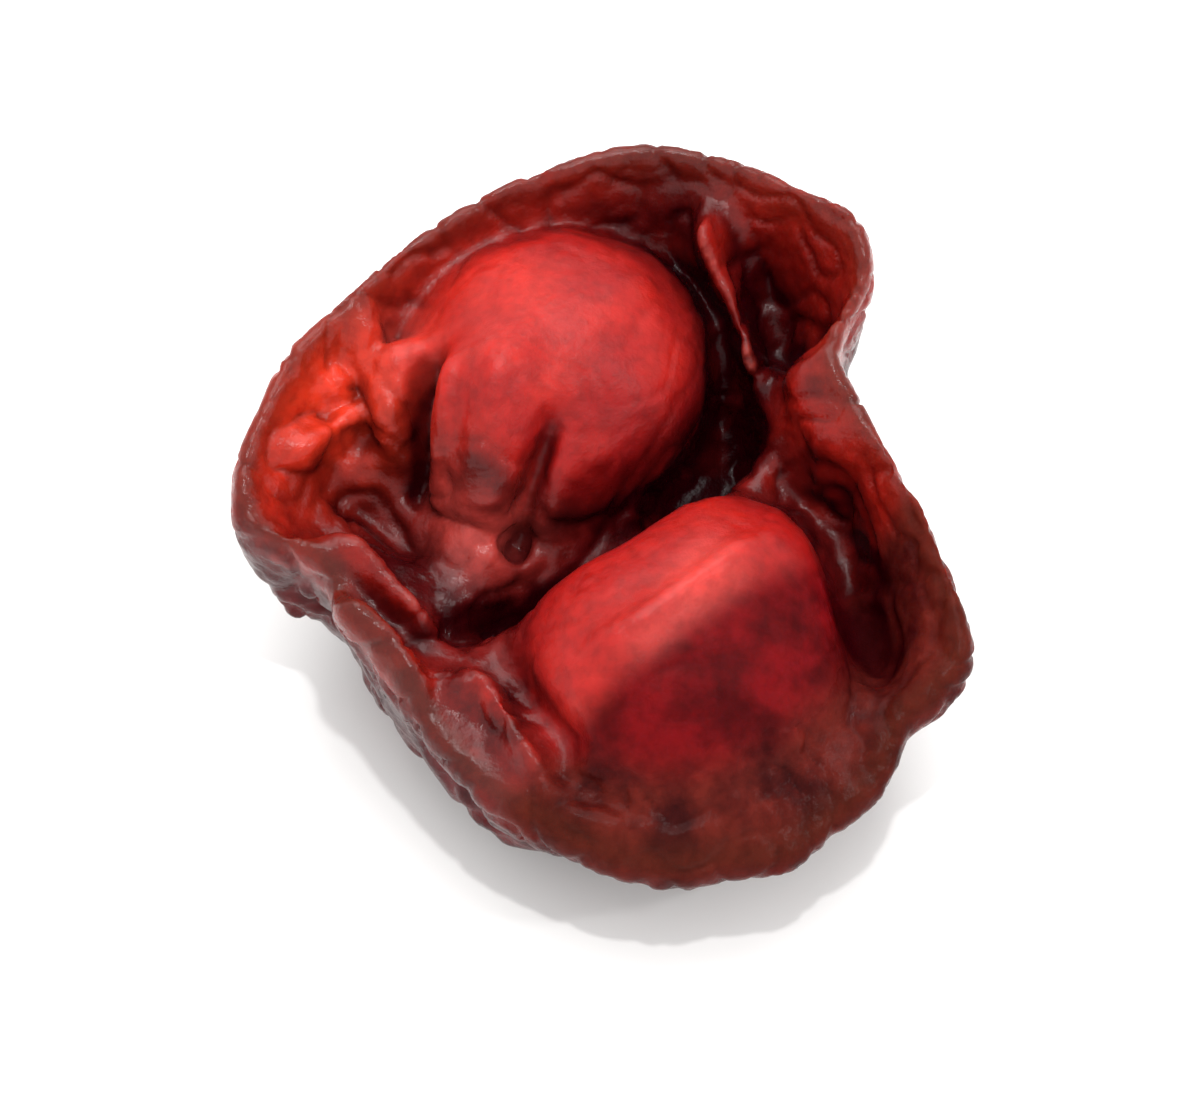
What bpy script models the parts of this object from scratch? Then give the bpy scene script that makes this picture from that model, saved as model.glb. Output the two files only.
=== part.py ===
"""A dried schisandra berry: one closed body whose skin has sunk round its two seeds.

Run it with: blender --background --python part.py
Sizes below are in millimetres and turned to metres at the end. +Z is up, and the origin is
on the surface it rests on, under the middle of the berry.
"""

import math

import bmesh
import bpy
import numpy as np
from mathutils import Vector, noise

MM = 0.001

# Faces along each side of the cube that is rounded into the skin, and how often each is cut
FACES_ALONG_SIDE = 29
CUTS = 3
SPREAD_ROUNDS = 60

# The skin from the middle of the sunk top, over the rim and down the wall to the flat spot:
# share of the way round from top to bottom, share of the outline's radius, height
SECTION = [
    (0.00, 0.00, 2.30),
    (0.13, 0.34, 2.20),
    (0.24, 0.62, 2.30),
    (0.31, 0.80, 2.70),
    (0.36, 0.89, 3.30),
    (0.40, 0.96, 3.80),
    (0.44, 0.99, 3.46),
    (0.50, 0.94, 2.70),
    (0.57, 0.87, 1.85),
    (0.65, 0.77, 1.05),
    (0.74, 0.64, 0.42),
    (0.83, 0.47, 0.05),
    (0.91, 0.28, -0.18),
    (1.00, 0.00, -0.26),
]
RIM_SHARE = 0.40
RIM_HEIGHT = 3.80
FLOOR_HEIGHT = 2.20

# Lower down the wall the outline evens out towards a circle: its radius and share of the shape
ROUND_RADIUS = 3.40
ROUND_SHARE = 0.8

# The outline seen from above: azimuth in degrees from +X, radius
OUTLINE = [
    (1, 3.00), (15, 2.74), (23, 2.68), (28, 2.84), (34, 3.38), (39, 3.58), (54, 3.52), (68, 3.57),
    (83, 3.52), (93, 3.37), (106, 3.24), (122, 3.14), (150, 3.22), (163, 3.48), (172, 3.62),
    (184, 3.84), (190, 3.80), (197, 3.26), (211, 3.12), (228, 3.14), (242, 3.38), (252, 3.64),
    (260, 3.80), (270, 4.05), (279, 4.24), (287, 4.28), (297, 4.46), (304, 4.38), (313, 4.32),
    (320, 4.14), (326, 4.30), (332, 4.32), (339, 3.96), (347, 3.56),
]

# The rim's height: azimuth in degrees, height
RIM = [
    (0, 3.30), (18, 3.40), (26, 3.55), (38, 4.00), (70, 3.92), (95, 3.90), (122, 3.75), (150, 3.68),
    (164, 3.58), (174, 3.42), (190, 3.05), (210, 2.62), (228, 2.42), (250, 2.10), (262, 1.93),
    (280, 1.75), (297, 1.80), (311, 2.05), (323, 2.42), (333, 2.70), (346, 3.05),
]

# The two seeds that the skin lies on: middle, half-sizes, the turn of the long one, and how
# full each half-size is (2 for an ellipsoid, less for a ridge, more for a block)
SEEDS = {
    "back": {
        "middle": (-0.52, 1.40, 1.90), "half": (1.88, 1.80, 2.02), "turn": 27, "full": (2.0, 2.0)},
    "front": {
        "middle": (0.84, -1.66, 1.48), "half": (2.02, 1.84, 1.92), "turn": 39, "full": (2.6, 1.6)},
}
SEED_DRAPE = 0.24

# Folds and creases of the sunk top: half width, height at its middle, points on its path
FOLDS = {
    "crevice": (0.21, -0.85, [
        (1.38, 2.50), (1.36, 1.60), (1.38, 0.95), (1.05, 0.34), (0.45, -0.24), (-0.20, -0.68),
        (-0.80, -1.02), (-1.55, -1.50), (-2.05, -1.95)]),
    "tall fold": (0.15, 0.95, [(1.00, 3.10), (1.18, 2.70), (1.40, 2.10), (1.58, 1.45), (1.70, 0.75)]),
    "right ridge": (0.24, 0.40, [(1.95, 1.75), (2.02, 1.15), (2.25, 0.45), (2.62, -0.10)]),
    "right groove": (0.26, -0.52, [
        (1.72, 0.70), (2.00, 0.28), (2.38, -0.25), (2.68, -1.20), (2.84, -1.95), (2.65, -2.70)]),
    "pocket": (0.28, -0.24, [(1.50, 2.75), (1.72, 2.40), (1.84, 1.95), (1.86, 1.40)]),
    "finger": (0.38, 0.40, [(-0.95, 1.40), (-1.10, 0.55), (-1.25, -0.20), (-1.38, -1.05)]),
    "finger groove": (0.12, -0.34, [(-0.42, 0.45), (-0.62, 0.05), (-0.85, -0.35), (-1.00, -0.75)]),
    "thin finger": (0.12, 0.30, [(-1.48, 1.15), (-1.60, 0.45), (-1.64, -0.10)]),
    "left groove": (0.13, -0.45, [(-1.65, 1.25), (-1.84, 0.60), (-1.84, -0.10)]),
    "short finger": (0.28, 0.40, [(-2.05, 1.60), (-2.16, 0.90), (-2.12, 0.15)]),
    "left hollow": (0.18, -0.20, [(-2.80, 1.30), (-2.60, 1.10), (-2.40, 0.80)]),
    "left fold": (0.13, 0.36, [(-3.35, -0.05), (-3.00, 0.38), (-2.50, 0.95), (-2.25, 1.60)]),
    "cheek fold": (0.12, 0.26, [(-2.95, 0.80), (-2.70, 1.05), (-2.48, 1.40), (-2.35, 1.75)]),
    "left pit": (0.20, -0.30, [(-2.90, -0.15), (-2.50, 0.00), (-2.05, -0.35), (-1.75, -0.80)]),
    "low fold": (0.13, 0.40, [(-3.10, -0.75), (-2.50, -0.95), (-1.95, -1.45), (-1.45, -1.70)]),
    "low ridge": (0.11, 0.34, [(-2.95, -1.30), (-2.45, -1.65), (-2.00, -2.10), (-1.75, -2.55)]),
    "front fold": (0.15, 0.36, [(-1.90, -2.15), (-1.25, -2.30), (-0.80, -2.90), (-0.45, -3.50)]),
    "low crease": (0.12, -0.25, [(-0.98, -1.75), (-0.80, -2.30), (-0.45, -2.85), (-0.05, -3.20)]),
    "brow": (0.16, 0.20, [(-0.40, -2.55), (0.45, -2.05), (1.15, -1.50), (2.00, -0.75)]),
    "front skin": (0.24, 0.22, [
        (-1.20, -3.00), (-0.50, -3.50), (0.40, -3.75), (1.30, -3.60), (2.00, -3.20)]),
}
PATH_STEPS = 24
# How much a fold rises straight up rather than out from the skin
FOLD_LIFT = 1.5

# Relief of the skin: size, height on the sunk top, height on the outer wall (below 0 for creases)
LUMPS = (1.40, 0.08, 0.12)
WRINKLES = (1.30, 0.05, -0.26)
FINE_WRINKLES = (0.70, 0.03, -0.10)
PLEATS = (1.10, 0.00, 0.16)
# How wide a wrinkle is, as a share of the noise that it follows, and the level that stays in place
WRINKLE_WIDTH = 0.11
WRINKLE_LEVEL = 0.35
# How much of the relief is pulled flat where the skin lies on a seed
TAUT = 0.65

# The puckered scar of the stalk, low on the back wall: middle, radius, depth, rim height
SCAR = ((-0.35, 2.80, 1.05), 0.38, 0.20, 0.10)

# Middle of the finished berry seen from above, the fineness at which folds that touch grow
# together, how often that skin is smoothed, and the triangles of the finished one
CENTRE = (-0.02, -0.40)
GRAIN = 0.06
SMOOTH_ROUNDS = 3
TRIANGLES = 10800


def spline(xs, ys, x, period=None):
    """Smooth curve through the points (xs, ys), read at x."""
    xs = np.asarray(xs, float)
    ys = np.asarray(ys, float)
    if period:
        xs = np.concatenate([xs[-2:] - period, xs, xs[:2] + period])
        ys = np.concatenate([ys[-2:], ys, ys[:2]])
        x = np.mod(x - xs[2], period) + xs[2]
    slopes = np.gradient(ys, xs)
    i = np.clip(np.searchsorted(xs, x, side="right") - 1, 0, len(xs) - 2)
    step = xs[i + 1] - xs[i]
    t = np.clip((x - xs[i]) / step, 0, 1)
    return (
        ys[i] * (1 + 2 * t) * (1 - t) ** 2
        + slopes[i] * step * t * (1 - t) ** 2
        + ys[i + 1] * t * t * (3 - 2 * t)
        + slopes[i + 1] * step * t * t * (t - 1)
    )


def smooth_step(low, high, x):
    t = np.clip((x - low) / (high - low), 0, 1)
    return t * t * (3 - 2 * t)


def higher(a, b, softness):
    """The higher of two heights, with a rounded join."""
    return 0.5 * (a + b + np.sqrt((a - b) ** 2 + softness**2))


def seed_top(x, y, seed):
    """Height of a seed's upper side over the point x, y."""
    turn = math.radians(seed["turn"])
    dx = x - seed["middle"][0]
    dy = y - seed["middle"][1]
    along = (dx * math.cos(turn) + dy * math.sin(turn)) / seed["half"][0]
    across = (dy * math.cos(turn) - dx * math.sin(turn)) / seed["half"][1]
    left = 1 - np.abs(along) ** seed["full"][0] - np.abs(across) ** seed["full"][1]
    return seed["middle"][2] + seed["half"][2] * np.sign(left) * np.sqrt(np.abs(left))


def on_seed(points):
    """How tightly the skin is drawn over a seed at these points, from 0 to 1."""
    x, y, z = points.T
    tight = np.zeros(len(points))
    for seed in SEEDS.values():
        rise = seed_top(x, y, seed) - seed["middle"][2]
        near = 1 - smooth_step(0.4, 0.9, np.abs(z - seed_top(x, y, seed)))
        tight = np.maximum(tight, smooth_step(0.6, 1.3, rise) * near)
    return tight


def fold(x, y, half_width, height, path):
    """Height that one fold adds over the point x, y: rounded across, and fading at its ends."""
    path = np.array(path)
    knots = np.arange(len(path))
    steps = np.linspace(0, len(path) - 1, PATH_STEPS + 1)
    line = np.column_stack([spline(knots, path[:, 0], steps), spline(knots, path[:, 1], steps)])
    nearest = np.full(len(x), np.inf)
    share = np.zeros(len(x))
    for i, (start, end) in enumerate(zip(line[:-1], line[1:])):
        run = end - start
        t = np.clip(((x - start[0]) * run[0] + (y - start[1]) * run[1]) / (run @ run), 0, 1)
        away = np.hypot(x - start[0] - t * run[0], y - start[1] - t * run[1])
        closer = away < nearest
        nearest[closer] = away[closer]
        share[closer] = (i + t[closer]) / PATH_STEPS
    fade = smooth_step(0, 0.3, share) * smooth_step(0, 0.3, 1 - share)
    return height * fade * np.exp(-((nearest / half_width) ** 2))


def share_down(directions):
    """Share of the way round from the middle of the top to the middle of the bottom."""
    return np.arccos(np.clip(directions[:, 2], -1, 1)) / math.pi


def skin(directions):
    """The skin's points, in millimetres, for unit directions from inside it."""
    azimuth = np.degrees(np.arctan2(directions[:, 1], directions[:, 0]))
    share = share_down(directions)
    shares, radii, heights = zip(*SECTION)
    outline = spline(*zip(*OUTLINE), azimuth, period=360)
    outline += (ROUND_RADIUS - outline) * ROUND_SHARE * smooth_step(0.45, 0.80, share)
    radius = spline(shares, radii, share) * outline
    height = spline(shares, heights, share)
    inside = np.maximum(height - FLOOR_HEIGHT, 0) / (RIM_HEIGHT - FLOOR_HEIGHT)
    lift = np.where(share < RIM_SHARE, inside, np.maximum(height, 0) / RIM_HEIGHT)
    height += (spline(*zip(*RIM), azimuth, period=360) - RIM_HEIGHT) * lift
    x = radius * np.cos(np.radians(azimuth))
    y = radius * np.sin(np.radians(azimuth))
    top = 1 - smooth_step(0.38, 0.44, share)
    for seed in SEEDS.values():
        over = higher(height, seed_top(x, y, seed), SEED_DRAPE)
        height += (over - height) * top
    return np.column_stack([x, y, height])


def rounded_cube(name, faces_along_side):
    """A cube rounded into a unit sphere of even square faces."""
    grid = bmesh.new()
    bmesh.ops.create_cube(grid, size=2)
    bmesh.ops.subdivide_edges(
        grid, edges=grid.edges[:], cuts=faces_along_side - 1, use_grid_fill=True
    )
    for vert in grid.verts:
        x, y, z = (math.tan(c * math.pi / 4) for c in vert.co)
        vert.co = Vector((x, y, z)).normalized()
    mesh = bpy.data.meshes.new(name)
    grid.to_mesh(mesh)
    grid.free()
    return mesh


def points_of(mesh):
    points = np.empty(len(mesh.vertices) * 3)
    mesh.vertices.foreach_get("co", points)
    return points.reshape(-1, 3)


def move_to(mesh, points):
    mesh.vertices.foreach_set("co", np.asarray(points, float).ravel())
    mesh.update()


def normals_of(mesh):
    normals = np.empty(len(mesh.vertices) * 3)
    mesh.vertex_normals.foreach_get("vector", normals)
    return normals.reshape(-1, 3)


def spread(mesh, rounds):
    """Directions moved so that steep places of the skin get their share of the faces."""
    directions = points_of(mesh)
    edges = np.empty(len(mesh.edges) * 2, int)
    mesh.edges.foreach_get("vertices", edges)
    a, b = edges.reshape(-1, 2).T
    for _ in range(rounds):
        points = skin(directions)
        weight = np.sum((points[a] - points[b]) ** 2, axis=1) + 1e-4
        total = np.bincount(a, weight, len(points)) + np.bincount(b, weight, len(points))
        moved = np.empty_like(directions)
        for axis in range(3):
            moved[:, axis] = np.bincount(a, weight * directions[b, axis], len(points))
            moved[:, axis] += np.bincount(b, weight * directions[a, axis], len(points))
        moved /= total[:, None]
        directions = 0.5 * directions + 0.5 * moved
        directions /= np.linalg.norm(directions, axis=1)[:, None]
    return directions


def cut_finer(mesh, cuts):
    """Each face cut into cuts x cuts, and the new points set back on the unit sphere."""
    grid = bmesh.new()
    grid.from_mesh(mesh)
    bmesh.ops.subdivide_edges(grid, edges=grid.edges[:], cuts=cuts - 1, use_grid_fill=True)
    for vert in grid.verts:
        vert.co.normalize()
    grid.to_mesh(mesh)
    grid.free()


def lumps(points, size, seed):
    """Smooth noise from about -1 to 1, with lumps of this size in millimetres."""
    shift = Vector((seed * 17.3, seed * 5.1, seed * 11.7))
    return np.array([noise.noise(Vector(p) / size + shift) for p in points])


def wrinkles(points, size, seed):
    """Winding lines about this far apart: 1 on a line, 0 between them."""
    noise.seed_set(seed)
    shift = Vector((seed * 7.9, seed * 13.7, seed * 3.3))
    found = np.empty(len(points))
    for i, p in enumerate(points):
        place = Vector(p) / size + shift
        found[i] = noise.noise(place + 0.4 * noise.noise_vector(place * 0.8))
    return np.exp(-((found / WRINKLE_WIDTH) ** 2))


def relief(points, share):
    """Height of lumps, wrinkles and pleats: strongest on the outer wall, faint over the seeds."""
    outer = smooth_step(0.42, 0.58, share)
    inner = 1 - outer
    found = (inner * LUMPS[1] + outer * LUMPS[2]) * lumps(points, LUMPS[0], 1)
    for (size, low, high), seed in ((WRINKLES, 2), (FINE_WRINKLES, 3)):
        found += (inner * low + outer * high) * (wrinkles(points, size, seed) - WRINKLE_LEVEL)
    size, low, high = PLEATS
    creased = 0.5 - 2 * np.abs(lumps(points * (1, 1, 0.3), size, 4))
    found += (inner * low + outer * high) * creased * (1 - smooth_step(0.66, 0.80, share))
    off_rim = smooth_step(0.0, 0.12, np.abs(share - RIM_SHARE))
    return found * (1 - TAUT * on_seed(points)) * off_rim


def scar(points):
    """Height of the stalk's scar: a pit with a raised rim."""
    middle, radius, depth, rim = SCAR
    away = np.linalg.norm(points - middle, axis=1) / radius
    return rim * np.exp(-(((away - 1.4) / 0.45) ** 2)) - depth * np.exp(-(away**2))


def berry_points(mesh, directions):
    """The finished skin in millimetres: the draped form, its folds, then its relief."""
    share = share_down(directions)
    points = skin(directions)
    move_to(mesh, points)
    top = 1 - smooth_step(0.40, 0.47, share)
    rise = sum(fold(points[:, 0], points[:, 1], *f) for f in FOLDS.values()) * top
    lift = normals_of(mesh) + (0, 0, FOLD_LIFT)
    points += lift / np.linalg.norm(lift, axis=1)[:, None] * rise[:, None]
    move_to(mesh, points)
    points += normals_of(mesh) * (relief(points, share) + scar(points))[:, None]
    points[:, :2] -= CENTRE
    return points


def with_modifier(mesh, kind, **settings):
    """The mesh as one modifier leaves it."""
    obj = bpy.data.objects.new("working skin", mesh)
    bpy.context.scene.collection.objects.link(obj)
    modifier = obj.modifiers.new("change", kind)
    for name, setting in settings.items():
        setattr(modifier, name, setting)
    seen = bpy.context.evaluated_depsgraph_get()
    found = bpy.data.meshes.new_from_object(obj.evaluated_get(seen))
    bpy.data.objects.remove(obj)
    return found


def keep_largest_piece(mesh):
    """Drops the closed pockets that are left inside where folds grow together."""
    grid = bmesh.new()
    grid.from_mesh(mesh)
    left = set(grid.verts)
    pieces = []
    while left:
        piece = [left.pop()]
        for vert in piece:
            near = {edge.other_vert(vert) for edge in vert.link_edges} & left
            left -= near
            piece.extend(near)
        pieces.append(piece)
    pieces.sort(key=len)
    lost = [vert for piece in pieces[:-1] for vert in piece]
    bmesh.ops.delete(grid, geom=lost, context="VERTS")
    grid.to_mesh(mesh)
    grid.free()


def rest_on_ground(mesh):
    """Flattens what reaches below the surface that the berry rests on."""
    points = points_of(mesh)
    points[:, 2] = np.maximum(points[:, 2], 0)
    move_to(mesh, points)


def skin_material():
    material = bpy.data.materials.new("dried_berry_skin")
    material.use_nodes = True
    shader = material.node_tree.nodes["Principled BSDF"]
    shader.inputs["Base Color"].default_value = (0.30, 0.016, 0.018, 1)
    shader.inputs["Roughness"].default_value = 0.38
    material.diffuse_color = (0.30, 0.016, 0.018, 1)
    return material


def main():
    for obj in list(bpy.data.objects):
        bpy.data.objects.remove(obj)
    fine = rounded_cube("fine skin", FACES_ALONG_SIDE)
    move_to(fine, spread(fine, SPREAD_ROUNDS))
    cut_finer(fine, CUTS)
    move_to(fine, berry_points(fine, points_of(fine)))
    mesh = with_modifier(fine, "REMESH", mode="VOXEL", voxel_size=GRAIN)
    keep_largest_piece(mesh)
    mesh = with_modifier(mesh, "SMOOTH", iterations=SMOOTH_ROUNDS)
    rest_on_ground(mesh)
    mesh = with_modifier(mesh, "DECIMATE", ratio=TRIANGLES / (2 * len(mesh.polygons)))
    mesh.name = "berry"
    rest_on_ground(mesh)
    move_to(mesh, points_of(mesh) * MM)
    mesh.shade_smooth()
    mesh.materials.append(skin_material())
    berry = bpy.data.objects.new("berry", mesh)
    collection = bpy.data.collections.new("schisandra_berry")
    bpy.context.scene.collection.children.link(collection)
    collection.objects.link(berry)


main()
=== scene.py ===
"""The looks of a dried schisandra berry: one finely creased skin in place of the plain one.

Sizes below are in millimetres and turned to metres at the end. +Z is up, and the origin is
on the floor, under the middle of the berry.
"""

import math

import bmesh
import bpy
import numpy as np
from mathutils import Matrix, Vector, noise
from mathutils.bvhtree import BVHTree
from mathutils.kdtree import KDTree


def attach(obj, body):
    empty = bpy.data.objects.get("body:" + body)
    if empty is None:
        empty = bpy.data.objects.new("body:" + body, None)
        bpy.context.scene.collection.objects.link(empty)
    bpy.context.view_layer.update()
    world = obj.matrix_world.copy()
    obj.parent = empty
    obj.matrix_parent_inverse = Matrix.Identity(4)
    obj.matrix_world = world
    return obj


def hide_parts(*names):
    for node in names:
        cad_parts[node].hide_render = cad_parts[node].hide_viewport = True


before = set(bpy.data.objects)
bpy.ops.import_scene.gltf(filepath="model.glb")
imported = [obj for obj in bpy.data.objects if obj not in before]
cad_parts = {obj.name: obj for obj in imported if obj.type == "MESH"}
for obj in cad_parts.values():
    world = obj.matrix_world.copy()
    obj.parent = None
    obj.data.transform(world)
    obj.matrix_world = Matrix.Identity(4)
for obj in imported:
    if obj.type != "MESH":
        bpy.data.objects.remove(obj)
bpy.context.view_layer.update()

MM = 0.001

# Faces along each side of the cube that is rounded into the skin, and how often each is cut
FACES_ALONG_SIDE = 29
CUTS = 3
SPREAD_ROUNDS = 60

# The skin from the middle of the sunk top, over the rim and down the wall to the flat spot:
# share of the way round from top to bottom, share of the outline's radius, height
SECTION = [
    (0.00, 0.00, 2.30),
    (0.13, 0.34, 2.20),
    (0.24, 0.62, 2.30),
    (0.31, 0.80, 2.70),
    (0.36, 0.89, 3.30),
    (0.40, 0.96, 3.80),
    (0.44, 0.99, 3.46),
    (0.50, 0.94, 2.70),
    (0.57, 0.87, 1.85),
    (0.65, 0.77, 1.05),
    (0.74, 0.64, 0.42),
    (0.83, 0.47, 0.05),
    (0.91, 0.28, -0.18),
    (1.00, 0.00, -0.26),
]
RIM_SHARE = 0.40
RIM_HEIGHT = 3.80
FLOOR_HEIGHT = 2.20

# Lower down the wall the outline evens out towards a circle: its radius and share of the shape
ROUND_RADIUS = 3.40
ROUND_SHARE = 0.8

# The outline seen from above: azimuth in degrees from +X, radius
OUTLINE = [
    (1, 3.00), (15, 2.74), (23, 2.68), (28, 2.84), (34, 3.38), (39, 3.58), (54, 3.52), (68, 3.57),
    (83, 3.52), (93, 3.37), (106, 3.24), (122, 3.14), (150, 3.22), (163, 3.48), (172, 3.62),
    (184, 3.84), (190, 3.80), (197, 3.26), (211, 3.12), (228, 3.14), (242, 3.38), (252, 3.64),
    (260, 3.80), (270, 4.05), (279, 4.24), (287, 4.28), (297, 4.46), (304, 4.38), (313, 4.32),
    (320, 4.14), (326, 4.30), (332, 4.32), (339, 3.96), (347, 3.56),
]

# The rim's height: azimuth in degrees, height
RIM = [
    (0, 3.30), (18, 3.40), (26, 3.55), (38, 4.00), (70, 3.92), (95, 3.90), (122, 3.75), (150, 3.68),
    (164, 3.58), (174, 3.42), (190, 3.05), (210, 2.62), (228, 2.42), (250, 2.10), (262, 1.93),
    (280, 1.75), (297, 1.80), (311, 2.05), (323, 2.42), (333, 2.70), (346, 3.05),
]

# The two seeds that the skin lies on: middle, half-sizes, the turn of the long one, and how
# full each half-size is (2 for an ellipsoid, less for a ridge, more for a block)
SEEDS = {
    "back": {
        "middle": (-0.52, 1.40, 1.90), "half": (1.88, 1.80, 2.02), "turn": 27, "full": (2.0, 2.0)},
    "front": {
        "middle": (0.84, -1.66, 1.48), "half": (2.02, 1.84, 1.92), "turn": 39, "full": (2.6, 1.6)},
}
SEED_DRAPE = 0.24

# Folds and creases of the sunk top: half width, height at its middle, points on its path
FOLDS = {
    "crevice": (0.21, -0.85, [
        (1.38, 2.50), (1.36, 1.60), (1.38, 0.95), (1.05, 0.34), (0.45, -0.24), (-0.20, -0.68),
        (-0.80, -1.02), (-1.55, -1.50), (-2.05, -1.95)]),
    "tall fold": (0.15, 0.95, [(1.00, 3.10), (1.18, 2.70), (1.40, 2.10), (1.58, 1.45), (1.70, 0.75)]),
    "right ridge": (0.24, 0.40, [(1.95, 1.75), (2.02, 1.15), (2.25, 0.45), (2.62, -0.10)]),
    "right groove": (0.26, -0.52, [
        (1.72, 0.70), (2.00, 0.28), (2.38, -0.25), (2.68, -1.20), (2.84, -1.95), (2.65, -2.70)]),
    "pocket": (0.28, -0.24, [(1.50, 2.75), (1.72, 2.40), (1.84, 1.95), (1.86, 1.40)]),
    "finger": (0.38, 0.40, [(-0.95, 1.40), (-1.10, 0.55), (-1.25, -0.20), (-1.38, -1.05)]),
    "finger groove": (0.12, -0.34, [(-0.42, 0.45), (-0.62, 0.05), (-0.85, -0.35), (-1.00, -0.75)]),
    "thin finger": (0.12, 0.30, [(-1.48, 1.15), (-1.60, 0.45), (-1.64, -0.10)]),
    "left groove": (0.13, -0.45, [(-1.65, 1.25), (-1.84, 0.60), (-1.84, -0.10)]),
    "short finger": (0.28, 0.40, [(-2.05, 1.60), (-2.16, 0.90), (-2.12, 0.15)]),
    "left hollow": (0.18, -0.20, [(-2.80, 1.30), (-2.60, 1.10), (-2.40, 0.80)]),
    "left fold": (0.13, 0.36, [(-3.35, -0.05), (-3.00, 0.38), (-2.50, 0.95), (-2.25, 1.60)]),
    "cheek fold": (0.12, 0.26, [(-2.95, 0.80), (-2.70, 1.05), (-2.48, 1.40), (-2.35, 1.75)]),
    "left pit": (0.20, -0.30, [(-2.90, -0.15), (-2.50, 0.00), (-2.05, -0.35), (-1.75, -0.80)]),
    "low fold": (0.13, 0.40, [(-3.10, -0.75), (-2.50, -0.95), (-1.95, -1.45), (-1.45, -1.70)]),
    "low ridge": (0.11, 0.34, [(-2.95, -1.30), (-2.45, -1.65), (-2.00, -2.10), (-1.75, -2.55)]),
    "front fold": (0.15, 0.36, [(-1.90, -2.15), (-1.25, -2.30), (-0.80, -2.90), (-0.45, -3.50)]),
    "low crease": (0.12, -0.25, [(-0.98, -1.75), (-0.80, -2.30), (-0.45, -2.85), (-0.05, -3.20)]),
    "brow": (0.16, 0.20, [(-0.40, -2.55), (0.45, -2.05), (1.15, -1.50), (2.00, -0.75)]),
    "front skin": (0.24, 0.22, [
        (-1.20, -3.00), (-0.50, -3.50), (0.40, -3.75), (1.30, -3.60), (2.00, -3.20)]),
}
PATH_STEPS = 24
# How much a fold rises straight up rather than out from the skin
FOLD_LIFT = 1.5

# Relief of the skin: size, height on the sunk top, height on the outer wall (below 0 for creases)
LUMPS = (1.40, 0.08, 0.12)
WRINKLES = (1.30, 0.05, -0.26)
FINE_WRINKLES = (0.70, 0.03, -0.10)
PLEATS = (1.10, 0.00, 0.16)
# How wide a wrinkle is, as a share of the noise that it follows, and the level that stays in place
WRINKLE_WIDTH = 0.11
WRINKLE_LEVEL = 0.35
# How much of the relief is pulled flat where the skin lies on a seed
TAUT = 0.65

# The puckered scar of the stalk, low on the back wall: middle, radius, depth, rim height
SCAR = ((-0.35, 2.80, 1.05), 0.38, 0.20, 0.10)

# Middle of the finished berry seen from above
CENTRE = (-0.02, -0.40)

# The fineness of the finished skin, how often it is smoothed, and its finest relief:
# size and height of its creases, of the crepe between them and of its pebbles
FINE_GRAIN = 0.056
SMOOTH_ROUNDS = 4
CREASES = (0.50, -0.045)
CREPE = (0.26, -0.014)
PEBBLE = (0.85, 0.030)
# How much of the creases and of the crepe is pulled flat on a seed
CREASES_TAUT = 0.7
CREPE_TAUT = 0.8

# How far a ray looks for the other side of the skin, and for what stands over a hollow
THICKEST = 1.6
REACH = 2.4
RAYS = 22

# Where the masks of the material begin and where they are full: the outer wall and the skin on
# the seeds by share of the way round, thin skin and what stands out or lies back in millimetres
OUTER_SHARES = (0.40, 0.50)
SEED_SHARES = (0.30, 0.38)
THIN_SKIN = (0.15, 1.20)
STANDS_OUT = (0.022, 0.080)
LIES_BACK = (0.008, 0.055)
RIM_WIDTH = 0.028
# Rounds of evening out: of a mask, of how thin the skin is, of its relief, and of the skin that
# the relief is measured from
EVEN_MASK = 3
EVEN_THIN = 4
EVEN_RELIEF = 2
EVEN_SKIN = 12

# Places of painted light and shade in the skin's colour: middle and radius of each place
PLACES = {
    # Painted glow where light would come through the thin left wall
    "painted_glow": [((-2.95, 0.95, 3.00), 1.05)],
    # Painted shade at the back by the tall fold and the pocket, and low on the left
    "painted_shade": [((0.70, 3.10, 3.40), 0.80), ((1.60, 1.70, 2.80), 0.80), ((-2.00, -1.05, 2.20), 0.75)],
    # A pink flush on the finger lobes, and a painted highlight along the front seed's ridge
    "blush_and_highlight": [
        ((-1.20, -0.28, 2.35), 0.48), ((-1.30, 0.15, 2.70), 0.40), ((-2.00, 1.38, 2.90), 0.42),
        ((1.15, -1.45, 3.30), 0.30), ((0.85, -1.80, 3.30), 0.30), ((0.50, -2.20, 3.20), 0.30)],
}
# The line over the front seed beyond which painted shade darkens the skin: a point on it, its
# direction, and how far past it the painted shade is full
BROW_POINT = (0.45, -2.10)
BROW_TURN = 37
BROW_FADE = 0.45
# How much of these tints stays off the outer wall
OFF_WALL = {"ridge": 0.7, "places": 0.8, "front": 0.75}

# Patterns in the colour: lumps a millimetre, detail, and the noise that counts as 0 and as 1
BROAD = (0.55, 3, 0.35, 0.65)
PATCHES = (1.6, 4, 0.38, 0.62)
SPECKS = (7.0, 3, 0.40, 0.66)

# Colours of the dried skin. A pair holds the two ends that a pattern goes between
SUNK_TOP = ("#400A0A", "#6E1512")
ON_SEEDS = ("#880D0C", "#AC2018")
SEED_PATCHES = (0.45, "#7E1014")
OUTER_WALL = ("#300307", "#62090D")
WALL_PATCHES = (0.70, "#460609")
# Painted shade over the front, which faces away from the lamps: its two ends, the same on the seed,
# and its strength
FRONT_SHADE = ("#2C0A0A", "#541A14")
FRONT_SHADE_ON_SEED = ("#3A0508", "#62090E")
FRONT_SHADE_STRENGTH = 0.94
# Painted glow standing in for light that comes through thin skin: strength, how much less on the
# outer wall, colour
GLOW = (0.60, 0.50, "#B02014")
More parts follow.
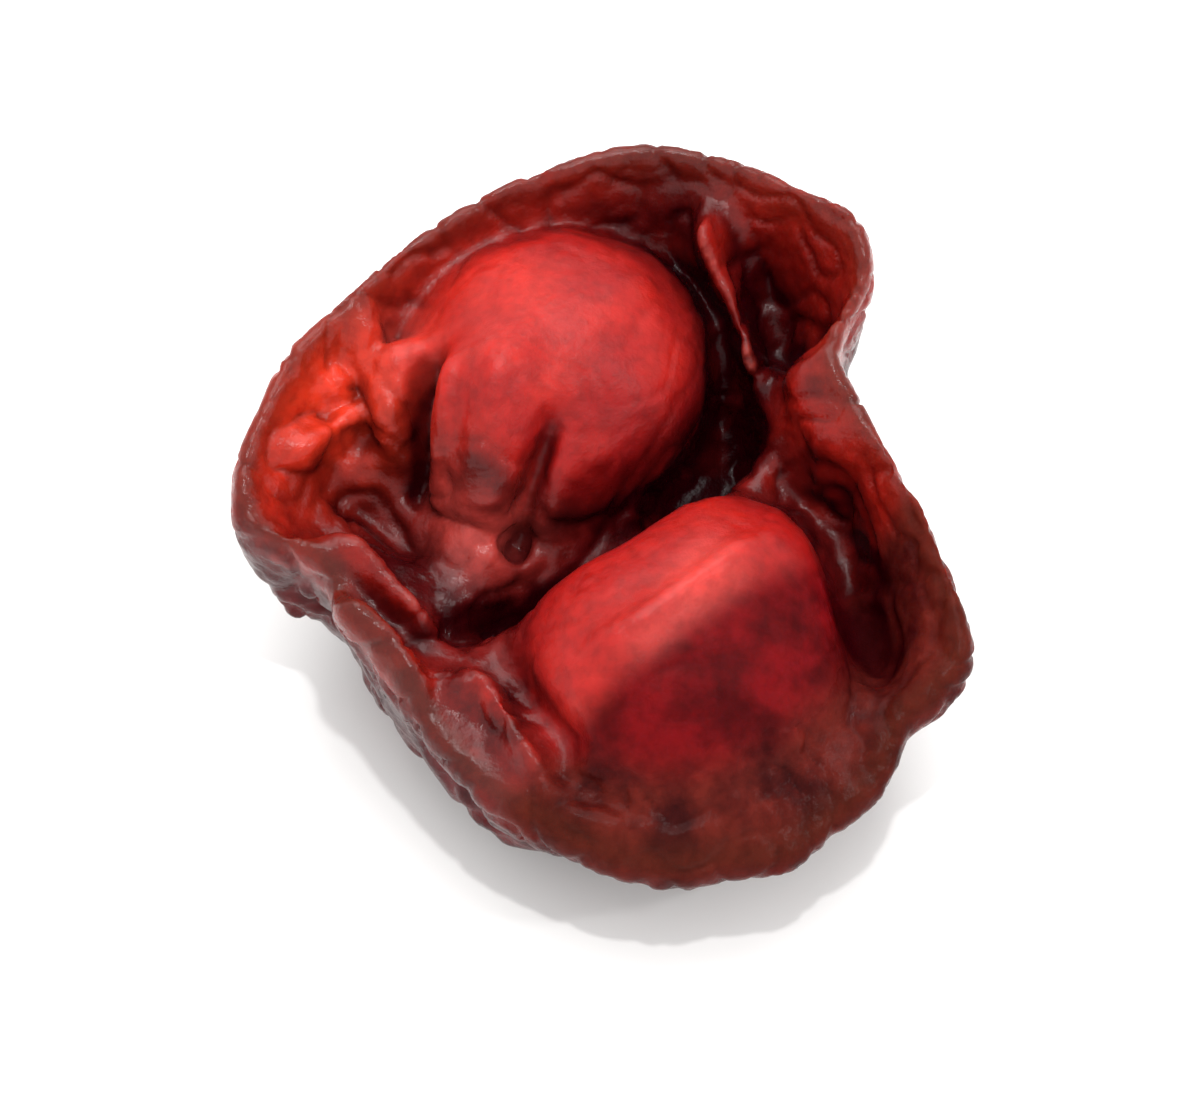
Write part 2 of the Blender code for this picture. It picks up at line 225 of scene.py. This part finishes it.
# Tints laid over these, in this order: strength and colour for each mask
# Painted glow through the thin left wall, painted shade, and a pink flush that carries a painted
# highlight on the front seed's ridge
PLACE_TINTS = {"painted_glow": (0.85, "#D0341C"), "painted_shade": (0.80, "#2E0407"), "blush_and_highlight": (0.60, "#DC544C")}
# Painted shade in the creases, painted highlight on what stands out, and the brown edge of the rim
RELIEF_TINTS = {"crease_shade": (0.75, "#2A0306"), "ridge": (0.60, "#A84C42"), "rim": (0.75, "#44180F")}
# Painted shade in the hollows, over the darker pulp there: the openness at which it is full and gone,
# colour
HOLLOW_SHADE = (0.22, 0.74, "#200003")
SPECK_TINT = (0.25, "#5A0A0C")

# Surface: roughness off and on the seeds, and what the patches add
ROUGHNESS = (0.13, 0.34)
PATCH_ROUGHNESS = 0.08
# Shine in a hollow and in the open, the openness of each, and what the front and wall take off
SHINE = (0.10, 0.20)
SHINE_OPENNESS = (0.30, 0.75)
SHINE_OFF = {"front": 0.17, "outer": 0.06}
# Light scattered in thick skin and in thin or seed skin, its reach by colour, in metres for red
SCATTER = (0.12, 0.55)
SCATTER_RADIUS = (1.0, 0.08, 0.04)
SCATTER_REACH = 0.0005
# Fine grain of the surface: grains a millimetre, strength, height in metres
SURFACE_GRAIN = (14.0, 0.35, 0.00003)

# The floor: half its side in metres, and its colour and roughness
FLOOR_HALF = 0.6
FLOOR_COLOUR = "#E4E3E2"
FLOOR_ROUGHNESS = 0.7

# Lamps: azimuth from the camera's side, elevation, distance, side and power. A broad soft lamp
# over the back, a small one low on the right, and a tiny one overhead for the glints
LAMPS = {
    "key": (178, 68, 0.12, 0.10, 0.12),
    "side": (70, 45, 0.14, 0.010, 0.03),
    "spark": (20, 80, 0.14, 0.005, 0.06),
}
LAMP_TARGET = (0, 0, 0.002)
# The pale surround: colour and strength
SURROUND = ("#FFFFFF", 1.4)

# The camera looks down at the photograph's angle; distances in metres
CAMERA_ELEVATION = 58
CAMERA_FAR = 0.110
CAMERA_TARGET = Vector((0.0, 0.0, 0.0021))
FRAME_WIDTH = 0.0124
SEEN_FROM_TO = (0.01, 5.0)
# Width of the camera's sensor in millimetres
SENSOR = 36


def spline(xs, ys, x, period=None):
    """Smooth curve through the points (xs, ys), read at x."""
    xs = np.asarray(xs, float)
    ys = np.asarray(ys, float)
    if period:
        xs = np.concatenate([xs[-2:] - period, xs, xs[:2] + period])
        ys = np.concatenate([ys[-2:], ys, ys[:2]])
        x = np.mod(x - xs[2], period) + xs[2]
    slopes = np.gradient(ys, xs)
    i = np.clip(np.searchsorted(xs, x, side="right") - 1, 0, len(xs) - 2)
    step = xs[i + 1] - xs[i]
    t = np.clip((x - xs[i]) / step, 0, 1)
    return (
        ys[i] * (1 + 2 * t) * (1 - t) ** 2
        + slopes[i] * step * t * (1 - t) ** 2
        + ys[i + 1] * t * t * (3 - 2 * t)
        + slopes[i + 1] * step * t * t * (t - 1)
    )


def smooth_step(low, high, x):
    t = np.clip((x - low) / (high - low), 0, 1)
    return t * t * (3 - 2 * t)


def higher(a, b, softness):
    """The higher of two heights, with a rounded join."""
    return 0.5 * (a + b + np.sqrt((a - b) ** 2 + softness**2))


def seed_top(x, y, seed):
    """Height of a seed's upper side over the point x, y."""
    turn = math.radians(seed["turn"])
    dx = x - seed["middle"][0]
    dy = y - seed["middle"][1]
    along = (dx * math.cos(turn) + dy * math.sin(turn)) / seed["half"][0]
    across = (dy * math.cos(turn) - dx * math.sin(turn)) / seed["half"][1]
    left = 1 - np.abs(along) ** seed["full"][0] - np.abs(across) ** seed["full"][1]
    return seed["middle"][2] + seed["half"][2] * np.sign(left) * np.sqrt(np.abs(left))


def on_seed(points):
    """How tightly the skin is drawn over a seed at these points, from 0 to 1."""
    x, y, z = points.T
    tight = np.zeros(len(points))
    for seed in SEEDS.values():
        rise = seed_top(x, y, seed) - seed["middle"][2]
        near = 1 - smooth_step(0.4, 0.9, np.abs(z - seed_top(x, y, seed)))
        tight = np.maximum(tight, smooth_step(0.6, 1.3, rise) * near)
    return tight


def fold(x, y, half_width, height, path):
    """Height that one fold adds over the point x, y: rounded across, and fading at its ends."""
    path = np.array(path)
    knots = np.arange(len(path))
    steps = np.linspace(0, len(path) - 1, PATH_STEPS + 1)
    line = np.column_stack([spline(knots, path[:, 0], steps), spline(knots, path[:, 1], steps)])
    nearest = np.full(len(x), np.inf)
    share = np.zeros(len(x))
    for i, (start, end) in enumerate(zip(line[:-1], line[1:])):
        run = end - start
        t = np.clip(((x - start[0]) * run[0] + (y - start[1]) * run[1]) / (run @ run), 0, 1)
        away = np.hypot(x - start[0] - t * run[0], y - start[1] - t * run[1])
        closer = away < nearest
        nearest[closer] = away[closer]
        share[closer] = (i + t[closer]) / PATH_STEPS
    fade = smooth_step(0, 0.3, share) * smooth_step(0, 0.3, 1 - share)
    return height * fade * np.exp(-((nearest / half_width) ** 2))


def share_down(directions):
    """Share of the way round from the middle of the top to the middle of the bottom."""
    return np.arccos(np.clip(directions[:, 2], -1, 1)) / math.pi


def skin(directions):
    """The skin's points, in millimetres, for unit directions from inside it."""
    azimuth = np.degrees(np.arctan2(directions[:, 1], directions[:, 0]))
    share = share_down(directions)
    shares, radii, heights = zip(*SECTION)
    outline = spline(*zip(*OUTLINE), azimuth, period=360)
    outline += (ROUND_RADIUS - outline) * ROUND_SHARE * smooth_step(0.45, 0.80, share)
    radius = spline(shares, radii, share) * outline
    height = spline(shares, heights, share)
    inside = np.maximum(height - FLOOR_HEIGHT, 0) / (RIM_HEIGHT - FLOOR_HEIGHT)
    lift = np.where(share < RIM_SHARE, inside, np.maximum(height, 0) / RIM_HEIGHT)
    height += (spline(*zip(*RIM), azimuth, period=360) - RIM_HEIGHT) * lift
    x = radius * np.cos(np.radians(azimuth))
    y = radius * np.sin(np.radians(azimuth))
    top = 1 - smooth_step(0.38, 0.44, share)
    for seed in SEEDS.values():
        over = higher(height, seed_top(x, y, seed), SEED_DRAPE)
        height += (over - height) * top
    return np.column_stack([x, y, height])


def rounded_cube(name, faces_along_side):
    """A cube rounded into a unit sphere of even square faces."""
    grid = bmesh.new()
    bmesh.ops.create_cube(grid, size=2)
    bmesh.ops.subdivide_edges(
        grid, edges=grid.edges[:], cuts=faces_along_side - 1, use_grid_fill=True
    )
    for vert in grid.verts:
        x, y, z = (math.tan(c * math.pi / 4) for c in vert.co)
        vert.co = Vector((x, y, z)).normalized()
    mesh = bpy.data.meshes.new(name)
    grid.to_mesh(mesh)
    grid.free()
    return mesh


def points_of(mesh):
    points = np.empty(len(mesh.vertices) * 3)
    mesh.vertices.foreach_get("co", points)
    return points.reshape(-1, 3)


def move_to(mesh, points):
    mesh.vertices.foreach_set("co", np.asarray(points, float).ravel())
    mesh.update()


def normals_of(mesh):
    normals = np.empty(len(mesh.vertices) * 3)
    mesh.vertex_normals.foreach_get("vector", normals)
    return normals.reshape(-1, 3)


def spread(mesh, rounds):
    """Directions moved so that steep places of the skin get their share of the faces."""
    directions = points_of(mesh)
    edges = np.empty(len(mesh.edges) * 2, int)
    mesh.edges.foreach_get("vertices", edges)
    a, b = edges.reshape(-1, 2).T
    for _ in range(rounds):
        points = skin(directions)
        weight = np.sum((points[a] - points[b]) ** 2, axis=1) + 1e-4
        total = np.bincount(a, weight, len(points)) + np.bincount(b, weight, len(points))
        moved = np.empty_like(directions)
        for axis in range(3):
            moved[:, axis] = np.bincount(a, weight * directions[b, axis], len(points))
            moved[:, axis] += np.bincount(b, weight * directions[a, axis], len(points))
        moved /= total[:, None]
        directions = 0.5 * directions + 0.5 * moved
        directions /= np.linalg.norm(directions, axis=1)[:, None]
    return directions


def cut_finer(mesh, cuts):
    """Each face cut into cuts x cuts, and the new points set back on the unit sphere."""
    grid = bmesh.new()
    grid.from_mesh(mesh)
    bmesh.ops.subdivide_edges(grid, edges=grid.edges[:], cuts=cuts - 1, use_grid_fill=True)
    for vert in grid.verts:
        vert.co.normalize()
    grid.to_mesh(mesh)
    grid.free()


def lumps(points, size, seed):
    """Smooth noise from about -1 to 1, with lumps of this size in millimetres."""
    shift = Vector((seed * 17.3, seed * 5.1, seed * 11.7))
    return np.array([noise.noise(Vector(p) / size + shift) for p in points])


def wrinkles(points, size, seed):
    """Winding lines about this far apart: 1 on a line, 0 between them."""
    noise.seed_set(seed)
    shift = Vector((seed * 7.9, seed * 13.7, seed * 3.3))
    found = np.empty(len(points))
    for i, p in enumerate(points):
        place = Vector(p) / size + shift
        found[i] = noise.noise(place + 0.4 * noise.noise_vector(place * 0.8))
    return np.exp(-((found / WRINKLE_WIDTH) ** 2))


def relief(points, share):
    """Height of lumps, wrinkles and pleats: strongest on the outer wall, faint over the seeds."""
    outer = smooth_step(0.42, 0.58, share)
    inner = 1 - outer
    found = (inner * LUMPS[1] + outer * LUMPS[2]) * lumps(points, LUMPS[0], 1)
    for (size, low, high), seed in ((WRINKLES, 2), (FINE_WRINKLES, 3)):
        found += (inner * low + outer * high) * (wrinkles(points, size, seed) - WRINKLE_LEVEL)
    size, low, high = PLEATS
    creased = 0.5 - 2 * np.abs(lumps(points * (1, 1, 0.3), size, 4))
    found += (inner * low + outer * high) * creased * (1 - smooth_step(0.66, 0.80, share))
    off_rim = smooth_step(0.0, 0.12, np.abs(share - RIM_SHARE))
    return found * (1 - TAUT * on_seed(points)) * off_rim


def scar(points):
    """Height of the stalk's scar: a pit with a raised rim."""
    middle, radius, depth, rim = SCAR
    away = np.linalg.norm(points - middle, axis=1) / radius
    return rim * np.exp(-(((away - 1.4) / 0.45) ** 2)) - depth * np.exp(-(away**2))


def berry_points(mesh, directions):
    """The finished skin in millimetres: the draped form, its folds, then its relief."""
    share = share_down(directions)
    points = skin(directions)
    move_to(mesh, points)
    top = 1 - smooth_step(0.40, 0.47, share)
    rise = sum(fold(points[:, 0], points[:, 1], *f) for f in FOLDS.values()) * top
    lift = normals_of(mesh) + (0, 0, FOLD_LIFT)
    points += lift / np.linalg.norm(lift, axis=1)[:, None] * rise[:, None]
    move_to(mesh, points)
    points += normals_of(mesh) * (relief(points, share) + scar(points))[:, None]
    points[:, :2] -= CENTRE
    return points


def with_modifier(mesh, kind, **settings):
    """The mesh as one modifier leaves it."""
    obj = bpy.data.objects.new("working skin", mesh)
    bpy.context.scene.collection.objects.link(obj)
    modifier = obj.modifiers.new("change", kind)
    for name, setting in settings.items():
        setattr(modifier, name, setting)
    seen = bpy.context.evaluated_depsgraph_get()
    found = bpy.data.meshes.new_from_object(obj.evaluated_get(seen))
    bpy.data.objects.remove(obj)
    return found


def keep_largest_piece(mesh):
    """Drops the closed pockets that are left inside where folds grow together."""
    grid = bmesh.new()
    grid.from_mesh(mesh)
    left = set(grid.verts)
    pieces = []
    while left:
        piece = [left.pop()]
        for vert in piece:
            near = {edge.other_vert(vert) for edge in vert.link_edges} & left
            left -= near
            piece.extend(near)
        pieces.append(piece)
    pieces.sort(key=len)
    lost = [vert for piece in pieces[:-1] for vert in piece]
    bmesh.ops.delete(grid, geom=lost, context="VERTS")
    grid.to_mesh(mesh)
    grid.free()


def shares_at(points, normals, rough_points, rough_normals, rough_share):
    """The share of the way round for points of the rebuilt skin, from the nearest like-facing one."""
    tree = KDTree(len(rough_points))
    for i, p in enumerate(rough_points):
        tree.insert(p, i)
    tree.balance()
    found = np.empty(len(points))
    for i, (p, n) in enumerate(zip(points, normals)):
        near = [k for _, k, _ in tree.find_n(p, 4)]
        found[i] = rough_share[max(near, key=lambda k: float(rough_normals[k] @ n))]
    return found


def thickness(tree, points, normals):
    """How far the skin's other side is straight under each point."""
    found = np.full(len(points), THICKEST)
    for i, (p, n) in enumerate(zip(points, normals)):
        inward = Vector(-n)
        away = tree.ray_cast(Vector(p) + 0.01 * inward, inward, THICKEST)[3]
        if away is not None:
            found[i] = away
    return found


def openness(tree, points, normals):
    """Share of the rays from each point that meet nothing within reach."""
    step = math.pi * (3 - math.sqrt(5))
    rays = []
    for i in range(RAYS):
        z = 1 - (2 * i + 1) / RAYS
        flat = math.sqrt(1 - z * z)
        rays.append(Vector((flat * math.cos(i * step), flat * math.sin(i * step), z)))
    found = np.empty(len(points))
    for i, (p, n) in enumerate(zip(points, normals)):
        out = Vector(n)
        start = Vector(p) + 0.02 * out
        free = total = 0.0
        for ray in rays:
            share = ray.dot(out)
            if share > 0.1:
                total += share
                if tree.ray_cast(start, ray, REACH)[3] is None:
                    free += share
        found[i] = free / total
    return found


def evened(mesh, values, rounds):
    """Values evened out along the edges."""
    edges = np.empty(len(mesh.edges) * 2, int)
    mesh.edges.foreach_get("vertices", edges)
    a, b = edges.reshape(-1, 2).T
    count = np.bincount(a, minlength=len(values)) + np.bincount(b, minlength=len(values))
    for _ in range(rounds):
        total = np.bincount(a, values[b], len(values)) + np.bincount(b, values[a], len(values))
        values = 0.5 * values + 0.5 * total / count
    return values


def standing_out(mesh, points, normals):
    """How far each point stands out from the skin round it, in millimetres."""
    round_it = np.column_stack([evened(mesh, points[:, axis], EVEN_SKIN) for axis in range(3)])
    return evened(mesh, np.sum((points - round_it) * normals, axis=1), EVEN_RELIEF)


def nearness(points, places):
    """1 at the middle of each place, fading beyond its radius."""
    found = np.zeros(len(points))
    for middle, radius in places:
        away = np.linalg.norm(points + (*CENTRE, 0) - middle, axis=1)
        found += np.exp(-((away / radius) ** 2))
    return found


def beyond_brow(points):
    """How far points lie to the front of the line over the front seed."""
    turn = math.radians(BROW_TURN)
    x, y = (points[:, :2] + CENTRE - BROW_POINT).T
    return x * math.sin(turn) - y * math.cos(turn)


def masks_of(mesh, points, share, seed, crest):
    """The masks that the material reads, each from 0 to 1."""
    normals = normals_of(mesh)
    faces = [tuple(face.vertices) for face in mesh.polygons]
    tree = BVHTree.FromPolygons(points.tolist(), faces)
    outer = smooth_step(*OUTER_SHARES, share)
    thin = 1 - smooth_step(*THIN_SKIN, thickness(tree, points, normals))
    relief_height = standing_out(mesh, points, normals)
    front = smooth_step(0.0, BROW_FADE, beyond_brow(points))
    masks = {
        "thin": evened(mesh, thin, EVEN_THIN),
        "open": evened(mesh, openness(tree, points, normals), EVEN_MASK),
        "seed": seed,
        "outer": outer,
        "rim": np.exp(-(((share - RIM_SHARE) / RIM_WIDTH) ** 2)),
        "crest": 0.5 + crest,
        # Painted highlight on what stands out
        "ridge": smooth_step(*STANDS_OUT, relief_height) * (1 - OFF_WALL["ridge"] * outer),
        # Painted shade in what lies back
        "crease_shade": smooth_step(*LIES_BACK, -relief_height),
        # Painted shade over the front, past the line over the front seed
        "front": front * (1 - OFF_WALL["front"] * outer),
    }
    # Painted glow, painted shade, and the flush with its painted highlight, each fading out from its
    # places
    for name, places in PLACES.items():
        masks[name] = nearness(points, places) * (1 - OFF_WALL["places"] * outer)
    return masks


def creased_skin():
    """The skin's mesh in metres, with the masks that its material reads."""
    rough = rounded_cube("rough skin", FACES_ALONG_SIDE)
    move_to(rough, spread(rough, SPREAD_ROUNDS))
    cut_finer(rough, CUTS)
    rough_share = share_down(points_of(rough))
    move_to(rough, berry_points(rough, points_of(rough)))
    rough_points, rough_normals = points_of(rough), normals_of(rough)
    mesh = with_modifier(rough, "REMESH", mode="VOXEL", voxel_size=FINE_GRAIN)
    keep_largest_piece(mesh)
    mesh = with_modifier(mesh, "SMOOTH", iterations=SMOOTH_ROUNDS)
    points, normals = points_of(mesh), normals_of(mesh)
    share = shares_at(points, normals, rough_points, rough_normals, rough_share)
    share = evened(mesh, share, EVEN_MASK)
    seed = on_seed(points + (*CENTRE, 0)) * (1 - smooth_step(*SEED_SHARES, share))
    seed = evened(mesh, seed, EVEN_MASK)
    crest = wrinkles(points, CREASES[0], 6) - 0.5
    crepe = wrinkles(points, CREPE[0], 7) - 0.5
    height = CREASES[1] * crest * (1 - CREASES_TAUT * seed)
    height += CREPE[1] * crepe * (1 - CREPE_TAUT * seed)
    height += PEBBLE[1] * lumps(points, PEBBLE[0], 8)
    points += normals * height[:, None]
    points[:, 2] = np.maximum(points[:, 2], 0)
    move_to(mesh, points)
    for name, values in masks_of(mesh, points, share, seed, crest).items():
        layer = mesh.attributes.new(name, "FLOAT", "POINT")
        layer.data.foreach_set("value", np.clip(values, 0, 1).astype(np.float32))
    move_to(mesh, points * MM)
    mesh.shade_smooth()
    return mesh


def linear(colour):
    """An sRGB hex colour as the linear one that a shader takes."""
    parts = [int(colour[i : i + 2], 16) / 255 for i in (1, 3, 5)]
    return (*(p / 12.92 if p <= 0.04045 else ((p + 0.055) / 1.055) ** 2.4 for p in parts), 1)


def add(tree, kind, values=(), **settings):
    """A node with its settings and values. A socket is linked, and a hex colour made linear."""
    column, row = divmod(len(tree.nodes), 8)
    node = tree.nodes.new(kind)
    node.location = (220 * column, -260 * row)
    for name, setting in settings.items():
        setattr(node, name, setting)
    for name, value in dict(values).items():
        if isinstance(value, bpy.types.NodeSocket):
            tree.links.new(value, node.inputs[name])
        else:
            node.inputs[name].default_value = linear(value) if isinstance(value, str) else value
    return node


def mottle(tree, mm, per_mm, detail, low, high):
    """A pattern of lumps, from 0 where its noise is low to 1 where it is high."""
    values = {"Vector": mm, "Scale": per_mm, "Detail": detail, "Roughness": 0.55}
    seen = add(tree, "ShaderNodeTexNoise", values).outputs["Fac"]
    values = {"Value": seen, "From Min": low, "From Max": high}
    return add(tree, "ShaderNodeMapRange", values).outputs[0]


def part_of(tree, mask, strength, less=0.0):
    """A mask at this strength, less another value."""
    values = {0: mask, 1: strength}
    found = add(tree, "ShaderNodeMath", values, operation="MULTIPLY", use_clamp=True).outputs[0]
    values = {0: found, 1: less}
    return add(tree, "ShaderNodeMath", values, operation="SUBTRACT", use_clamp=True).outputs[0]


def laid_over(tree, under, over, mask, blend="MIX"):
    """One colour, with another laid over it where the mask is high."""
    values = {0: mask, 6: under, 7: over}
    return add(tree, "ShaderNodeMix", values, data_type="RGBA", blend_type=blend).outputs[2]


def skin_colour(tree, mm, masks):
    """Deep red over the seeds; painted shade makes the front brown-red, and painted shade over the
    darker pulp makes the hollows nearly black.
    """
    broad, patches, specks = (mottle(tree, mm, *pattern) for pattern in (BROAD, PATCHES, SPECKS))
    seeds = laid_over(tree, *ON_SEEDS, broad)
    strength, tint = SEED_PATCHES
    seeds = laid_over(tree, seeds, tint, part_of(tree, patches, strength))
    wall = laid_over(tree, *OUTER_WALL, masks["crest"])
    strength, tint = WALL_PATCHES
    wall = laid_over(tree, wall, tint, part_of(tree, broad, strength))
    colour = laid_over(tree, *SUNK_TOP, patches)
    colour = laid_over(tree, colour, seeds, masks["seed"])
    colour = laid_over(tree, colour, wall, masks["outer"])
    # Painted glow where the skin is thin, less on the outer wall
    strength, off_wall, tint = GLOW
    shaded = part_of(tree, masks["outer"], off_wall)
    colour = laid_over(tree, colour, tint, part_of(tree, masks["thin"], strength, shaded))
    # Painted glow, then painted shade, then the flush with its painted highlight
    for name, (strength, tint) in PLACE_TINTS.items():
        colour = laid_over(tree, colour, tint, part_of(tree, masks[name], strength))
    # Painted shade over the front
    front = laid_over(tree, *FRONT_SHADE, patches)
    front = laid_over(tree, front, laid_over(tree, *FRONT_SHADE_ON_SEED, patches), masks["seed"])
    colour = laid_over(tree, colour, front, part_of(tree, masks["front"], FRONT_SHADE_STRENGTH))
    # Painted shade in creases, painted highlight on ridges, then the rim's brown edge
    for name, (strength, tint) in RELIEF_TINTS.items():
        colour = laid_over(tree, colour, tint, part_of(tree, masks[name], strength))
    # Painted shade in the hollows, over the darker pulp there
    full, gone, tint = HOLLOW_SHADE
    closed = add(tree, "ShaderNodeMapRange", {
        "Value": masks["open"], "From Min": full, "From Max": gone, "To Min": 1.0, "To Max": 0.0,
    }).outputs[0]
    # The flush and its painted highlight keep the painted shade of the hollows off
    flushed_and_lit = part_of(tree, masks["blush_and_highlight"], PLACE_TINTS["blush_and_highlight"][0])
    colour = laid_over(tree, colour, tint, part_of(tree, closed, 1.0, flushed_and_lit))
    strength, tint = SPECK_TINT
    return laid_over(tree, colour, tint, part_of(tree, specks, strength), "MULTIPLY"), patches


def skin_material():
    """Dried fruit skin, shrunk on to its sugary pulp.

    It is smooth and a little glossy, as if moist. Red light travels in the pulp, so that thin
    rims and the skin on the seeds glow; the colour adds a painted glow on thin skin, and painted
    shade over the darker pulp makes the deep folds nearly black.
    """
    material = bpy.data.materials.new("dried_schisandra_skin")
    material.use_nodes = True
    tree = material.node_tree
    tree.nodes.clear()
    place = add(tree, "ShaderNodeTexCoord").outputs["Object"]
    mm = add(tree, "ShaderNodeVectorMath", {0: place, 1: (1 / MM,) * 3}, operation="MULTIPLY")
    mm = mm.outputs[0]
    names = ("thin", "open", "seed", "outer", "crest", "front", *PLACE_TINTS, *RELIEF_TINTS)
    masks = {
        name: add(tree, "ShaderNodeAttribute", attribute_name=name).outputs["Fac"] for name in names
    }
    colour, patches = skin_colour(tree, mm, masks)

    rough = add(tree, "ShaderNodeMapRange", {
        "Value": masks["seed"], "To Min": ROUGHNESS[0], "To Max": ROUGHNESS[1],
    }).outputs[0]
    wet = part_of(tree, patches, PATCH_ROUGHNESS)
    rough = add(tree, "ShaderNodeMath", {0: rough, 1: wet}, operation="ADD").outputs[0]
    values = {0: masks["seed"], 1: masks["thin"]}
    fleshy = add(tree, "ShaderNodeMath", values, operation="MAXIMUM").outputs[0]
    scatter = add(tree, "ShaderNodeMapRange", {
        "Value": fleshy, "To Min": SCATTER[0], "To Max": SCATTER[1],
    }).outputs[0]
    shine = add(tree, "ShaderNodeMapRange", {
        "Value": masks["open"], "From Min": SHINE_OPENNESS[0], "From Max": SHINE_OPENNESS[1],
        "To Min": SHINE[0], "To Max": SHINE[1],
    }).outputs[0]
    for name, less in SHINE_OFF.items():
        shine = part_of(tree, shine, 1.0, part_of(tree, masks[name], less))
    per_mm, strength, height = SURFACE_GRAIN
    grain = add(tree, "ShaderNodeTexNoise", {
        "Vector": mm, "Scale": per_mm, "Detail": 4.0, "Roughness": 0.6,
    }).outputs["Fac"]
    values = {"Height": grain, "Strength": strength, "Distance": height}
    shader = add(tree, "ShaderNodeBsdfPrincipled", {
        "Base Color": colour,
        "Roughness": rough,
        "Specular IOR Level": shine,
        "Subsurface Weight": scatter,
        "Subsurface Radius": SCATTER_RADIUS,
        "Subsurface Scale": SCATTER_REACH,
        "Normal": add(tree, "ShaderNodeBump", values).outputs[0],
    })
    add(tree, "ShaderNodeOutputMaterial", {0: shader.outputs[0]})
    return material


def paper_material():
    """Plain white paper, matt and without a pattern that the camera could see."""
    material = bpy.data.materials.new("white_paper")
    material.use_nodes = True
    shader = material.node_tree.nodes["Principled BSDF"]
    shader.inputs["Base Color"].default_value = linear(FLOOR_COLOUR)
    shader.inputs["Roughness"].default_value = FLOOR_ROUGHNESS
    return material


def add_object(name, data, place=(0, 0, 0)):
    obj = bpy.data.objects.new(name, data)
    bpy.context.scene.collection.objects.link(obj)
    obj.location = place
    return obj


def aim(obj, target):
    """Turns a lamp or the camera towards a point."""
    back = Vector(obj.location) - Vector(target)
    obj.rotation_euler = back.to_track_quat("Z", "Y").to_euler()


def add_lamp(name, azimuth, elevation, far, side, power):
    """A square soft lamp that looks at the berry; azimuth 0 is the camera's side."""
    lamp = bpy.data.lights.new(name, "AREA")
    lamp.shape = "SQUARE"
    lamp.size = side
    lamp.energy = power
    a, e = math.radians(azimuth), math.radians(elevation)
    away = Vector((math.sin(a) * math.cos(e), -math.cos(a) * math.cos(e), math.sin(e)))
    aim(add_object(name, lamp, away * far), LAMP_TARGET)


# The piece
berry = add_object("dried_berry_skin", creased_skin())
berry.data.materials.append(skin_material())
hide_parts("berry")
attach(berry, "root")

# The floor
grid = bmesh.new()
bmesh.ops.create_grid(grid, x_segments=1, y_segments=1, size=FLOOR_HALF)
floor_mesh = bpy.data.meshes.new("floor")
grid.to_mesh(floor_mesh)
grid.free()
floor = add_object("floor", floor_mesh)
floor_mesh.materials.append(paper_material())

# Light
for name, lamp in LAMPS.items():
    add_lamp(name, *lamp)
world = bpy.data.worlds.new("studio")
bpy.context.scene.world = world
world.use_nodes = True
background = world.node_tree.nodes["Background"]
background.inputs["Color"].default_value = linear(SURROUND[0])
background.inputs["Strength"].default_value = SURROUND[1]

# The camera
camera_data = bpy.data.cameras.new("camera")
camera_data.sensor_width = SENSOR
camera_data.lens = SENSOR * CAMERA_FAR / FRAME_WIDTH
camera_data.clip_start, camera_data.clip_end = SEEN_FROM_TO
e = math.radians(CAMERA_ELEVATION)
away = Vector((0, -math.cos(e), math.sin(e))) * CAMERA_FAR
camera = add_object("camera", camera_data, CAMERA_TARGET + away)
aim(camera, CAMERA_TARGET)
bpy.context.scene.camera = camera
bpy.context.scene.view_settings.view_transform = "Standard"
